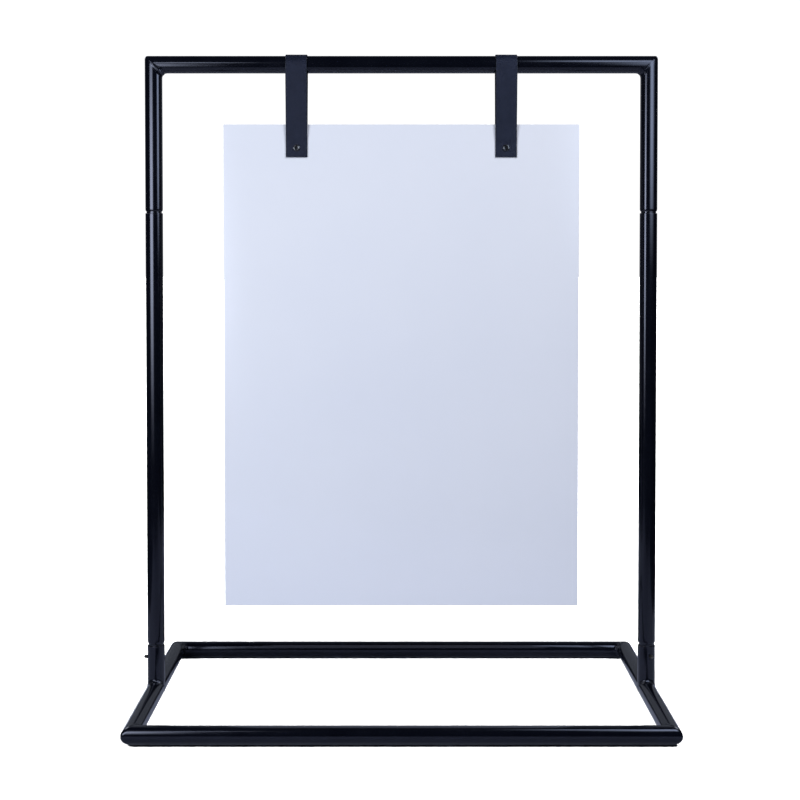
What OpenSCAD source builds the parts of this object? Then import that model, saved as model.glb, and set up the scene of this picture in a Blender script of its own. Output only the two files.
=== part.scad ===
// Sign stand: a plug-together frame of round steel tube with a panel hung on two leather straps.
// The floor is z = 0, the origin is the middle of the base, and the front faces -Y.

/* [Frame] */
// Outside diameter of every frame tube
tube_d = 25; // [22:1:32]
// Wall thickness of the tubes
tube_wall = 1.5; // [1.2:0.1:2]
// Width over the outside of the frame
frame_w = 735; // [640:5:900]
// Height from the floor to the top of the bar
frame_h = 925; // [900:5:1200]
// Depth over the outside of the base
base_depth = 460; // [300:5:600]
// Radius ground onto the outside of each mitred corner
corner_r = 4; // [1:0.5:5]

/* [Couplings] */
// Height of the lower uprights' top rims
upper_rim_z = 700; // [400:5:720]
// Height of the base stubs' top rims
stub_rim_z = 76; // [75:1:90]
// Length of reduced tube left showing above a rim
neck_show = 2.5; // [1:0.5:5]
// Height of the rolled shoulder where a tube is reduced
shoulder_h = 3.5; // [2:0.5:5]
// Length of reduced tube that plugs into the tube below
plug_len = 48; // [35:1:50]
// Radial play between a plug and its socket
plug_play = 0.1; // [0.05:0.01:0.1]
// Radius of the rounded edge on each rim
rim_edge = 0.7; // [0.3:0.1:0.7]

/* [Snap buttons] */
// Diameter of a button's stem
button_d = 5; // [4:0.5:6]
// How far a button stands out of its stub
button_reach = 5.4; // [3:0.1:6]
// Height of the left button's axis
left_button_z = 58.5; // [52:0.5:64]
// Height of the right button's axis
right_button_z = 61.5; // [52:0.5:64]
// Direction that the left button faces, turned from +X about Z
left_button_turn = 180; // [90:5:270]
// Direction that the right button faces, turned from +X about Z
right_button_turn = -70; // [-90:5:90]
// Radial play of a button in its holes
button_play = 0.15; // [0.1:0.05:0.3]

/* [Sign] */
// Width of the panel
panel_w = 510; // [400:2:600]
// Height of the panel
panel_h = 694; // [400:2:720]
// Thickness of the panel
panel_t = 4; // [3:0.5:6]
// Distance from the bar's axis down to the panel's top edge
panel_drop = 85.5; // [60:0.5:100]

/* [Straps] */
// Width of the leather
strap_w = 31; // [20:1:45]
// Thickness of the leather
strap_t = 1.6; // [1.2:0.1:2.5]
// Distance between the two straps' middles
strap_spacing = 300; // [150:5:380]
// Length of leather that laps the panel
strap_lap = 47; // [35:1:60]
// Radial play between the leather loop and the bar
strap_play = 0.25; // [0.1:0.05:0.5]

/* [Strap screws] */
// Distance from the strap's end up to the screw's axis
screw_inset = 13.5; // [8:0.5:16]
// Diameter of both heads
head_d = 10; // [8:0.5:14]
// Thickness of both heads
head_t = 1.6; // [1.2:0.1:2.5]
// Outside diameter of the barrel
barrel_d = 5; // [4.5:0.5:6]
// Diameter of the screw's thread
thread_d = 3.5; // [3:0.5:3.5]

/* [Weld beads] */
// Width of a bead along a mitre
bead_w = 5; // [3:0.5:8]
// Height of a bead above the tubes
bead_h = 0.7; // [0.4:0.1:1.2]
// Leg of the fillet inside a corner
fillet_leg = 5; // [3:0.5:7]
// Leg of the fillet round a stub's foot
foot_leg = 2.5; // [1.5:0.5:4]

/* [Hidden] */

$fn = 96;
margin = 1;
frame_black = [0.03, 0.03, 0.04];
leather_black = [0.12, 0.13, 0.15];
panel_white = [0.88, 0.89, 0.94];
spring_steel = [0.55, 0.56, 0.58];

tube_r = tube_d / 2;
socket_r = tube_r - tube_wall;
plug_r = socket_r - plug_play;
axis_x = frame_w / 2 - tube_r;
axis_y = base_depth / 2 - tube_r;
bar_z = frame_h - tube_r;
// A tube that is cut to sit on another one stands this far off it, inside the weld
seam = 0.05;
fillet_hollow_r = 1.1 * fillet_leg;

button_r = button_d / 2;
button_tip = tube_r + button_reach;
leaf_t = 0.7;
leaf_w = 8;
leaf_u = 7.4;
leaf_up = 8;
leaf_down = 14;
leaf_bend_r = 3;
leaf_bend_turn = 165;
flange_w = 0.9;
flange_t = 0.7;
flange_r = button_r + flange_w;
tail_r = 1.5;
tail_len = 1.4;
leaf_face = leaf_u + leaf_t / 2;
// The far leg stops short of the plug's wall
leaf_gap = 0.6;
far_leg_tip = [leaf_t + leaf_gap - (plug_r - tube_wall), leaf_up + 2];

panel_top = bar_z - panel_drop;
strap_end_z = panel_top - strap_lap;
screw_z = strap_end_z + screw_inset;
stack = panel_t + 2 * strap_t;
head_edge = 0.7;
slot_w = 1.2;
slot_depth = 0.8;
hole_play = 0.1;
// The barrel stops short of the far head, and the thread stops short of the barrel's floor
barrel_short = 0.3;
thread_short = 1.6;
thread_len = stack - thread_short;

// The leather leaves the panel just above the screw head and runs tangent to the bar
loop_r = tube_r + strap_play;
bend_clear = 1.5;
bend_z = screw_z + head_d / 2 + bend_clear;
bend_drop = bar_z - bend_z;
face_y = panel_t / 2;
lean = asin(loop_r / norm([face_y, bend_drop])) - atan(face_y / bend_drop);
leg_normal = [cos(lean), -sin(lean)];

// Points of an arc about a centre, from one angle to another
function arc(centre, r, from, to, steps = 6) =
    [for (i = [0:steps]) centre + r * [cos(from + (to - from) * i / steps),
                                       sin(from + (to - from) * i / steps)]];

// Direction of a path at one of its points
function heading(path, i) =
    let (a = path[max(i - 1, 0)], b = path[min(i + 1, len(path) - 1)])
    (b - a) / norm(b - a);

// Outline of a strip of constant thickness that follows a path
function strip(path, t) = concat(
    [for (i = [0:len(path) - 1])
        path[i] + t / 2 * [-heading(path, i)[1], heading(path, i)[0]]],
    [for (i = [len(path) - 1:-1:0])
        path[i] - t / 2 * [-heading(path, i)[1], heading(path, i)[0]]]
);

// ---- tubes ----

module along_x() {
    rotate([0, 90, 0]) children();
}

module along_y() {
    rotate([-90, 0, 0]) children();
}

// Extrudes an outline drawn in the XZ plane to both sides of it
module across_y(width) {
    rotate([90, 0, 0]) linear_extrude(height = width, center = true) children();
}

module bar_solid(length, r) {
    cylinder(h = length, r = r, center = true);
}

module tube(length) {
    difference() {
        bar_solid(length, tube_r);
        bar_solid(length + 2 * margin, socket_r);
    }
}

module rounded_rectangle(w, h, r) {
    square([w - 2 * r, h], center = true);
    square([w, h - 2 * r], center = true);
    for (x = [-1, 1], y = [-1, 1])
        translate([x * (w / 2 - r), y * (h / 2 - r)]) circle(r = r);
}

// Wedge that holds a member along the first axis, mitred at both ends
module long_wedge(a, b) {
    polygon([
        [-a - tube_d, b + tube_d], [a + tube_d, b + tube_d],
        [a - tube_d, b - tube_d], [-a + tube_d, b - tube_d]
    ]);
}

module base_outline() {
    linear_extrude(height = 2 * tube_d) rounded_rectangle(frame_w, base_depth, corner_r);
}

module upper_outline() {
    across_y(2 * tube_d) rounded_rectangle(frame_w, 2 * frame_h, corner_r);
}

// Rail across the base, with side = -1 for the front and 1 for the back
module cross_rail(side) {
    intersection() {
        translate([0, side * axis_y, tube_r]) along_x() tube(frame_w + tube_d);
        linear_extrude(height = tube_d) scale([1, side]) long_wedge(axis_x, axis_y);
        base_outline();
    }
}

// Rail at one side of the base, with side = -1 for the left and 1 for the right
module side_rail(side) {
    intersection() {
        translate([side * axis_x, 0, tube_r]) along_y() tube(base_depth + tube_d);
        linear_extrude(height = tube_d) rotate(-90 * side) long_wedge(axis_y, axis_x);
        base_outline();
    }
}

// ---- couplings ----

// Cross-section of a socket's rim, with its outer edge rounded
function rim_points(rim_z) = concat(
    arc([tube_r - rim_edge, rim_z - rim_edge], rim_edge, 0, 90),
    [[socket_r, rim_z]]
);

// Cross-section of a reduced end, from the inside of its mouth up to the full tube
function plug_points(rim_z) =
    let (neck_z = rim_z + neck_show)
    concat(
        [[plug_r - tube_wall, neck_z + tube_wall], [plug_r - tube_wall, rim_z - plug_len]],
        [[plug_r - tube_wall / 2, rim_z - plug_len], [plug_r, rim_z - plug_len + tube_wall]],
        [for (a = [0:15:90]) [plug_r + (tube_r - plug_r) * sin(a),
                              neck_z + shoulder_h * (1 - cos(a))]]
    );

module button_hole(button_z, turn) {
    translate([0, 0, button_z]) rotate([0, 0, turn]) along_x()
        cylinder(h = tube_r + margin, r = button_r + button_play);
}

module socket_stub(button_z, turn) {
    difference() {
        rotate_extrude()
            polygon(concat([[socket_r, tube_r], [tube_r, tube_r]], rim_points(stub_rim_z)));
        translate([0, 0, tube_r]) along_y() bar_solid(2 * tube_d, tube_r + seam);
        button_hole(button_z, turn);
    }
}

module lower_upright(button_z, turn) {
    shoulder_top = stub_rim_z + neck_show + shoulder_h;
    difference() {
        rotate_extrude()
            polygon(concat(
                plug_points(stub_rim_z), rim_points(upper_rim_z),
                [[socket_r, shoulder_top + tube_wall]]
            ));
        button_hole(button_z, turn);
    }
}

module upper_post(side) {
    shoulder_top = upper_rim_z + neck_show + shoulder_h;
    intersection() {
        translate([side * axis_x, 0, 0]) rotate_extrude()
            polygon(concat(
                plug_points(upper_rim_z), [[tube_r, frame_h + margin], [socket_r, frame_h + margin]],
                [[socket_r, shoulder_top + tube_wall]]
            ));
        across_y(2 * tube_d) polygon([
            [side * (axis_x + tube_d), bar_z + tube_d], [side * (axis_x - tube_d), bar_z - tube_d],
            [side * (axis_x - tube_d), 0], [side * (axis_x + tube_d), 0]
        ]);
        upper_outline();
    }
}

// ---- snap buttons ----

// Folded leaf: one leg carries the button, the other presses on the far wall
module snap_spring(button_z, turn) {
    path = concat(
        [[leaf_u, leaf_up]],
        arc([leaf_u - leaf_bend_r, -leaf_down], leaf_bend_r, 0, -leaf_bend_turn, 8),
        [far_leg_tip]
    );
    translate([0, 0, button_z]) rotate([0, 0, turn]) difference() {
        across_y(leaf_w) polygon(strip(path, leaf_t));
        translate([leaf_u, 0, 0]) along_x() bar_solid(3 * leaf_t, tail_r + hole_play);
    }
}

module snap_button(button_z, turn) {
    translate([0, 0, button_z]) rotate([0, 0, turn]) along_x() rotate_extrude()
        polygon(concat(
            [[0, leaf_face - tail_len], [tail_r, leaf_face - tail_len]],
            [[tail_r, leaf_face + seam], [flange_r, leaf_face + seam]],
            [[flange_r, leaf_face + flange_t], [button_r, leaf_face + flange_t]],
            arc([0, button_tip - button_r], button_r, 0, 90)
        ));
}

// ---- welds ----

// Bead and inner fillet of a mitred corner at the origin whose tubes run towards -X and -Y
module half_bead() {
    reach = 2 * tube_d;
    side = bead_w / 2 / sqrt(2);
    intersection() {
        along_x() difference() {
            bar_solid(2 * reach, tube_r + bead_h);
            bar_solid(2 * reach + 2 * margin, tube_r);
        }
        linear_extrude(height = 2 * tube_d, center = true) polygon([
            [-reach, -reach], [reach, reach], [reach - side, reach + side],
            [-reach - side, -reach + side]
        ]);
    }
}

module corner_fillet() {
    near = tube_r - margin;
    far = tube_r + fillet_leg;
    difference() {
        intersection() {
            along_x() bar_solid(4 * tube_d, far);
            along_y() bar_solid(4 * tube_d, far);
            translate([-far, -far, -tube_r / 2]) cube([far - near, far - near, tube_r]);
        }
        along_x() bar_solid(5 * tube_d, tube_r);
        along_y() bar_solid(5 * tube_d, tube_r);
        translate([-far, -far, 0]) bar_solid(2 * tube_d, fillet_hollow_r);
    }
}

module corner_weld() {
    half_bead();
    mirror([1, -1, 0]) half_bead();
    corner_fillet();
}

// Fillet where a stub along Z stands on a rail along Y, with the rail's axis at the origin
module foot_weld() {
    difference() {
        intersection() {
            cylinder(h = 2 * tube_d, r = tube_r + foot_leg);
            along_y() bar_solid(2 * tube_d, tube_r + foot_leg);
            cube([2 * (tube_r + bead_h), 2 * tube_d, 2 * tube_d], center = true);
        }
        translate([0, 0, -margin]) cylinder(h = 3 * tube_d, r = tube_r + seam);
        along_y() bar_solid(3 * tube_d, tube_r);
    }
}

// ---- sign ----

// Side view of one face of the leather, filled in: a circle on the bar and two legs below it
module loop_outline(r, y, bend, low) {
    bar_centre = [0, bar_z];
    mirrored = [-leg_normal[0], leg_normal[1]];
    translate(bar_centre) circle(r = r);
    polygon([
        [y, low], [y, bend], bar_centre + r * leg_normal,
        bar_centre + r * mirrored, [-y, bend], [-y, low]
    ]);
}

// Side view of a strap, drawn in the YZ plane
module strap_profile() {
    bend_out = bend_z - strap_t * tan(lean / 2);
    difference() {
        loop_outline(loop_r + strap_t, face_y + strap_t, bend_out, strap_end_z);
        loop_outline(loop_r, face_y, bend_z, strap_end_z - margin);
    }
}

module screw_hole(x) {
    translate([x, 0, screw_z]) along_y() bar_solid(2 * tube_d, barrel_d / 2 + hole_play);
}

module strap(x) {
    difference() {
        translate([x, 0, 0]) rotate([90, 0, 90])
            linear_extrude(height = strap_w, center = true) strap_profile();
        screw_hole(x);
    }
}

module panel() {
    difference() {
        translate([-panel_w / 2, -panel_t / 2, panel_top - panel_h])
            cube([panel_w, panel_t, panel_h]);
        for (side = [-1, 1])
            screw_hole(side * strap_spacing / 2);
    }
}

// Outline of a head that stands on zero and is rounded at its outer edge
function head_points() = concat(
    [[head_d / 2, 0]],
    arc([head_d / 2 - head_edge, head_t - head_edge], head_edge, 0, 90),
    [[0, head_t]]
);

module barrel_nut(x) {
    translate([x, -stack / 2, screw_z]) rotate([90, 0, 0]) difference() {
        rotate_extrude() polygon(concat(
            [[0, barrel_short - stack], [barrel_d / 2, barrel_short - stack], [barrel_d / 2, 0]],
            head_points()
        ));
        translate([0, 0, -stack]) cylinder(h = thread_len + hole_play, r = thread_d / 2 + seam);
    }
}

module screw(x) {
    translate([x, stack / 2, screw_z]) along_y() difference() {
        rotate_extrude() polygon(concat(
            [[0, -thread_len], [thread_d / 2, -thread_len], [thread_d / 2, 0]], head_points()
        ));
        translate([-head_d, -slot_w / 2, head_t - slot_depth]) cube([2 * head_d, slot_w, head_t]);
    }
}

// ---- nodes ----

module base_front_rail() {
    color(frame_black) cross_rail(-1);
}

module base_back_rail() {
    color(frame_black) cross_rail(1);
}

module base_left_rail() {
    color(frame_black) side_rail(-1);
}

module base_right_rail() {
    color(frame_black) side_rail(1);
}

module base_corner_welds() {
    color(frame_black) intersection() {
        for (x = [0, 1], y = [0, 1])
            mirror([x, 0, 0]) mirror([0, y, 0]) translate([axis_x, axis_y, tube_r]) corner_weld();
        base_outline();
    }
}

module left_socket_stub() {
    color(frame_black) translate([-axis_x, 0, 0]) socket_stub(left_button_z, left_button_turn);
}

module right_socket_stub() {
    color(frame_black) translate([axis_x, 0, 0]) socket_stub(right_button_z, right_button_turn);
}

module stub_welds() {
    color(frame_black)
        for (side = [-1, 1])
            translate([side * axis_x, 0, tube_r]) foot_weld();
}

module left_lower_upright() {
    color(frame_black) translate([-axis_x, 0, 0]) lower_upright(left_button_z, left_button_turn);
}

module right_lower_upright() {
    color(frame_black) translate([axis_x, 0, 0]) lower_upright(right_button_z, right_button_turn);
}

module left_snap_spring() {
    color(spring_steel) translate([-axis_x, 0, 0]) snap_spring(left_button_z, left_button_turn);
}

module right_snap_spring() {
    color(spring_steel) translate([axis_x, 0, 0]) snap_spring(right_button_z, right_button_turn);
}

module left_snap_button() {
    color(frame_black) translate([-axis_x, 0, 0]) snap_button(left_button_z, left_button_turn);
}

module right_snap_button() {
    color(frame_black) translate([axis_x, 0, 0]) snap_button(right_button_z, right_button_turn);
}

module left_upper_post() {
    color(frame_black) upper_post(-1);
}

module right_upper_post() {
    color(frame_black) upper_post(1);
}

module top_bar() {
    color(frame_black) intersection() {
        translate([0, 0, bar_z]) along_x() tube(frame_w + tube_d);
        across_y(2 * tube_d) long_wedge(axis_x, bar_z);
        upper_outline();
    }
}

module top_corner_welds() {
    color(frame_black) intersection() {
        for (x = [0, 1])
            mirror([x, 0, 0]) translate([axis_x, 0, bar_z]) rotate([90, 0, 0]) corner_weld();
        upper_outline();
    }
}

module left_strap() {
    color(leather_black) strap(-strap_spacing / 2);
}

module right_strap() {
    color(leather_black) strap(strap_spacing / 2);
}

module sign_panel() {
    color(panel_white) panel();
}

module left_barrel_nut() {
    color(frame_black) barrel_nut(-strap_spacing / 2);
}

module right_barrel_nut() {
    color(frame_black) barrel_nut(strap_spacing / 2);
}

module left_screw() {
    color(frame_black) screw(-strap_spacing / 2);
}

module right_screw() {
    color(frame_black) screw(strap_spacing / 2);
}

base_front_rail();
base_back_rail();
base_left_rail();
base_right_rail();
base_corner_welds();
left_socket_stub();
right_socket_stub();
stub_welds();
left_lower_upright();
right_lower_upright();
left_snap_spring();
right_snap_spring();
left_snap_button();
right_snap_button();
left_upper_post();
right_upper_post();
top_bar();
top_corner_welds();
left_strap();
right_strap();
sign_panel();
left_barrel_nut();
right_barrel_nut();
left_screw();
right_screw();
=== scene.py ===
"""The looks of a sign stand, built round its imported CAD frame.

Metres; the floor is z = 0, the origin is the middle of the base, and the front faces -Y.
"""

import math

import bmesh
import bpy
import numpy as np
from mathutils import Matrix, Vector, noise


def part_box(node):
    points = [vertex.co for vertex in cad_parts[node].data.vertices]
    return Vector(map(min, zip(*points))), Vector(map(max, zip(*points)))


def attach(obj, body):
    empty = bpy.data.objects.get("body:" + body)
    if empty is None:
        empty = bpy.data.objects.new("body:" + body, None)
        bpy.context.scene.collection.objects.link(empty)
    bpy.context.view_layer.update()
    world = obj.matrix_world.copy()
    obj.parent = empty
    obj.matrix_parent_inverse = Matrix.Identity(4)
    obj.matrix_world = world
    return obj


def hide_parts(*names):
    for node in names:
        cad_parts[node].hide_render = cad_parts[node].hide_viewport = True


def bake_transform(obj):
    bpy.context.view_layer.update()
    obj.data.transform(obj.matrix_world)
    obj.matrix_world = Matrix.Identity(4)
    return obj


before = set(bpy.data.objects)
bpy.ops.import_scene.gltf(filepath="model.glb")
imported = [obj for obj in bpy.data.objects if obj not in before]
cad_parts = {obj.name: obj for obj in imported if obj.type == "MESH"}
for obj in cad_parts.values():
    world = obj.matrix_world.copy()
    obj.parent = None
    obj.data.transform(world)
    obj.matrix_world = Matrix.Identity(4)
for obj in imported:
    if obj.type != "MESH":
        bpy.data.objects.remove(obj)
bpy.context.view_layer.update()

MM = 0.001
SEGMENTS = 96
SIDES = ((-1, "left"), (1, "right"))


def middle(node):
    """The middle of a CAD node's box."""
    low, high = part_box(node)
    return (low + high) / 2


def snapped(value):
    """A CAD coordinate to the nearest half millimetre, past the mesh's own tolerance."""
    return round(value / (0.5 * MM)) * 0.5 * MM


# ---- sizes, from the CAD frame ----

AXIS_X = snapped(middle("right_lower_upright").x)
TUBE_R = snapped(middle("top_bar").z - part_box("top_bar")[0].z)
WALL = 1.5 * MM
SOCKET_R = TUBE_R - WALL
PLUG_PLAY = 0.1 * MM
PLUG_R = SOCKET_R - PLUG_PLAY
PLUG_BORE_R = PLUG_R - WALL
AXIS_Y = snapped(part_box("base_back_rail")[1].y) - TUBE_R
BAR_Z = snapped(middle("top_bar").z)
UPPER_RIM = snapped(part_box("left_lower_upright")[1].z)
STUB_RIM = snapped(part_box("left_socket_stub")[1].z)
PLUG_LEN = UPPER_RIM - snapped(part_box("left_upper_post")[0].z)
# the reduced neck that shows above a rim, and the rolled shoulder over it
NECK = 2.5 * MM
SHOULDER = 3.5 * MM
# how far the open ends of the uprights and of the stubs are rounded
RIM_EDGE = 0.5 * MM
STUB_EDGE = 0.95 * MM
PANEL_LOW, PANEL_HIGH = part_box("sign_panel")
STRAP_T = 1.6 * MM
STRAP_W = 31 * MM
BUTTON_R = 2.5 * MM
BUTTON_HOLE_R = 2.65 * MM
BUTTON_TIP = TUBE_R + 5.4 * MM
# the leaf's distance out from its upright's axis, and its thickness
LEAF_U = 7.4 * MM
LEAF_T = 0.7 * MM
HEAD_R = 5 * MM
HEAD_T = 1.6 * MM
BARREL_R = 2.5 * MM
SCREW_R = 1.7 * MM


# ---- meshes ----


def new_object(name, points, faces, sharp=35):
    """A mesh object with its doubled points merged, its normals outwards and its creases sharp."""
    mesh = bpy.data.meshes.new(name)
    mesh.from_pydata([tuple(map(float, p)) for p in points], [], faces)
    thing = bpy.data.objects.new(name, mesh)
    bpy.context.scene.collection.objects.link(thing)
    tidy_mesh(mesh, sharp)
    return thing


def tidy_mesh(mesh, sharp=35):
    """Merges doubled points, turns the normals outwards and marks the creases."""
    work = bmesh.new()
    work.from_mesh(mesh)
    bmesh.ops.remove_doubles(work, verts=work.verts, dist=1e-6)
    bmesh.ops.dissolve_degenerate(work, edges=work.edges, dist=1e-7)
    bmesh.ops.recalc_face_normals(work, faces=work.faces)
    work.to_mesh(mesh)
    work.free()
    mesh.shade_smooth()
    mesh.set_sharp_from_angle(angle=math.radians(sharp))


def grid_faces(rows, cols, wrap_rows=True, wrap_cols=True, start=0):
    """Quads of a grid of points numbered row by row."""
    faces = []
    for i in range(rows if wrap_rows else rows - 1):
        for j in range(cols if wrap_cols else cols - 1):
            k, n = (i + 1) % rows, (j + 1) % cols
            faces.append(
                (
                    start + i * cols + j,
                    start + i * cols + n,
                    start + k * cols + n,
                    start + k * cols + j,
                )
            )
    return faces


def turn_circle(count=SEGMENTS):
    """Cosines and sines of evenly spaced angles round a circle."""
    angle = np.arange(count) * 2 * math.pi / count
    return np.cos(angle), np.sin(angle)


def rings_to_points(rings, cuts, count=SEGMENTS):
    """Points of a tube from (radius, distance, cut) rings. A cut is a function of the point
    across the tube that gives where its end is; without one the distance is a plain height."""
    cos, sin = turn_circle(count)
    out = []
    for radius, distance, cut in rings:
        b, c = radius * cos, radius * sin
        along = np.full(count, distance)
        if cut:
            along = cuts[cut](b, c) + distance
        out.append(np.stack([b, c, along], 1))
    return np.concatenate(out)


def place(points, origin, b_axis, c_axis, t_axis):
    """Carries points from a tube's own (b, c, t) axes into the shared frame."""
    return (
        np.array(origin)
        + points[:, :1] * np.array(b_axis)
        + points[:, 1:2] * np.array(c_axis)
        + points[:, 2:] * np.array(t_axis)
    )


def boolean_cut(thing, cutter, sharp=35):
    """Cuts one mesh out of another and leaves no modifier behind."""
    modifier = thing.modifiers.new("cut", "BOOLEAN")
    modifier.operation = "DIFFERENCE"
    modifier.solver = "EXACT"
    modifier.object = cutter
    bpy.context.view_layer.update()
    graph = bpy.context.evaluated_depsgraph_get()
    result = bpy.data.meshes.new_from_object(thing.evaluated_get(graph))
    thing.modifiers.clear()
    old = thing.data
    thing.data = result
    result.name = thing.name
    bpy.data.meshes.remove(old)
    bpy.data.objects.remove(cutter)
    tidy_mesh(result, sharp)


def arc(cx, cy, radius, start, end, steps):
    """Points along an arc between two angles in degrees."""
    return [
        (
            cx + radius * math.cos(math.radians(start + (end - start) * i / steps)),
            cy + radius * math.sin(math.radians(start + (end - start) * i / steps)),
        )
        for i in range(steps + 1)
    ]


def line(start, end, steps):
    """Points along a straight line, without its start."""
    return [
        (start[0] * (1 - t) + end[0] * t, start[1] * (1 - t) + end[1] * t)
        for t in np.linspace(0, 1, steps + 1)[1:]
    ]


def rounded_box(half_w, half_h, radius, steps):
    """A rectangle's outline, with its corners rounded."""
    loop = []
    for sx, sy, begin in ((1, 1, 0), (-1, 1, 90), (-1, -1, 180), (1, -1, 270)):
        corner = (sx * (half_w - radius), sy * (half_h - radius))
        loop += arc(*corner, radius, begin, begin + 90, steps)
    return loop


def path_normals(path):
    """Unit normals along a flat path, on the left of the way that it runs."""
    step = np.gradient(path, axis=0)
    step /= np.linalg.norm(step, axis=1)[:, None]
    return np.stack([-step[:, 1], step[:, 0]], 1)


def strip_faces(rows, cols):
    """Faces of a closed strip: rings of points in rows, and a cap at each end."""
    caps = [tuple(range(cols))[::-1], tuple(range((rows - 1) * cols, rows * cols))]
    return grid_faces(rows, cols, wrap_rows=False) + caps


def smooth(low, high, x):
    """Rises from 0 at low to 1 at high without a corner."""
    t = np.clip((x - low) / (high - low), 0, 1)
    return t * t * (3 - 2 * t)


def wobble(points, scale, seed):
    """Smooth noise from -1 to 1 at each point, with features about 1 / scale across."""
    shift = Vector((seed * 3.1, seed * 1.7, seed * 5.3))
    return np.array([noise.noise(Vector(p) * scale + shift) for p in points])


# ---- the mitred corners ----
# Corner coordinates: a points out along the first tube, b out along the second, c is square
# to both, and the tubes' axes cross at zero.

# how widely the outer ridge is rounded, and how large the fillet inside the corner is
CORNER_K = 4.6 * MM
FILLET_K = 7.5 * MM
# a bead's half width and ripple, and the half width of the shell that carries it
BEAD_HALF = 2.5 * MM
BEAD_PITCH = 2.3 * MM
BASE_BEAD = 0.6 * MM
TOP_BEAD = 0.65 * MM
SHELL_HALF = 9.5 * MM
# past this distance from a corner a rail is a plain tube
CORNER_REACH = 45 * MM


def corner_field(p, outer_k, inner_k):
    """Distance to two mitred tubes, eased at the outer ridge and filled inside the corner."""
    a, b, c = p[:, 0], p[:, 1], p[:, 2]
    first = np.hypot(b, c) - TUBE_R
    second = np.hypot(a, c) - TUBE_R
    side = np.clip((a + b) / (math.sqrt(2) * TUBE_R), -1, 1)
    ease = np.where(side > 0, outer_k * side, inner_k * side**2) + 1e-9
    gap = np.abs(first - second)
    soft = np.where(gap < ease, (gap**2 + ease**2) / (2 * ease), gap)
    return (first + second) / 2 + np.where(side > 0, 0.5, -0.5) * soft


def settle(points, field, target=0.0, rounds=10):
    """Moves points along a field's gradient until the field has the target value there."""
    h = 1e-6
    for _ in range(rounds):
        value = field(points) - target
        slope = np.stack(
            [(field(points + h * e) - field(points - h * e)) / (2 * h) for e in np.eye(3)],
            1,
        )
        size = np.maximum((slope**2).sum(1), 1e-3)
        points = points - (value / size)[:, None] * slope
    return points


def eased_corner(points):
    """Rounds the outer ridge of a tube's mitred end, in corner coordinates."""
    near = (np.abs(points[:, 0]) < 2 * TUBE_R) & (points[:, 0] + points[:, 1] > 0)
    outside = np.hypot(points[:, 1], points[:, 2]) > TUBE_R - 0.2 * MM
    pick = near & outside
    if pick.any():
        moved = settle(points[pick], lambda p: corner_field(p, CORNER_K, 1e-6))
        points = points.copy()
        points[pick] = moved
    return points


# where a rail's rings are, back from its mitre
END_STEPS = [x * MM for x in (0, 0.5, 1, 1.5, 2, 2.6, 3.3, 4.1, 5, 6, 7.5, 9.5, 12, 16)]


def mitred_rail(name, half, origin, out_axis, run_axis):
    """A rail that is mitred at both ends, where out_axis points out of the frame."""
    ends = {
        "low": lambda b, c: -(half + b),
        "high": lambda b, c: half + b,
    }
    plain = np.linspace(-half + CORNER_REACH, half - CORNER_REACH, 25)
    outer = [(TUBE_R, d, "low") for d in END_STEPS]
    outer += [(TUBE_R, t, None) for t in plain]
    outer += [(TUBE_R, -d, "high") for d in reversed(END_STEPS)]
    inner = [(SOCKET_R, 0, "high")]
    inner += [(SOCKET_R, t, None) for t in (plain[-1], plain[0])]
    inner += [(SOCKET_R, 0, "low")]
    points = rings_to_points(outer + inner, ends)
    for sign in (-1, 1):
        local = np.stack([sign * points[:, 2] - half, points[:, 0], points[:, 1]], 1)
        local = eased_corner(local)
        points = np.stack([local[:, 1], local[:, 2], sign * (local[:, 0] + half)], 1)
    cross = np.cross(run_axis, out_axis)
    world = place(points, origin, out_axis, cross, run_axis)
    return new_object(name, world, grid_faces(len(outer + inner), SEGMENTS))


# ---- weld beads ----


def bead_height(along, across, path, height):
    """Height of a rippled bead above its tubes, and below them past its edges."""
    part = np.clip(1 - (across / BEAD_HALF) ** 2, 0, 1)
    crescents = np.cos(2 * math.pi * (along + 0.5 * across**2 / BEAD_HALF) / BEAD_PITCH)
    proud = height * (part * (0.72 + 0.28 * crescents) + 0.05)
    return proud + 0.25 * height * part * wobble(path, 260, 2.0)


def sunk(across, start):
    """Takes a bead's surface down into the tubes between start and the shell's edge."""
    return 0.35 * MM * smooth(start, SHELL_HALF, across)


def weld_shell(rows, cols, points, field, target, put, depth=0.8 * MM):
    """A closed weld from a grid of points laid on a field: its skin, and a back inside the tubes."""
    skin = settle(points, field, target).reshape(rows, cols, 3)
    back = settle(points, field, -depth).reshape(rows, cols, 3)
    rings = np.concatenate([skin, back[:, ::-1]], 1)
    return put(rings.reshape(-1, 3)), grid_faces(rows, 2 * cols)


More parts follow.
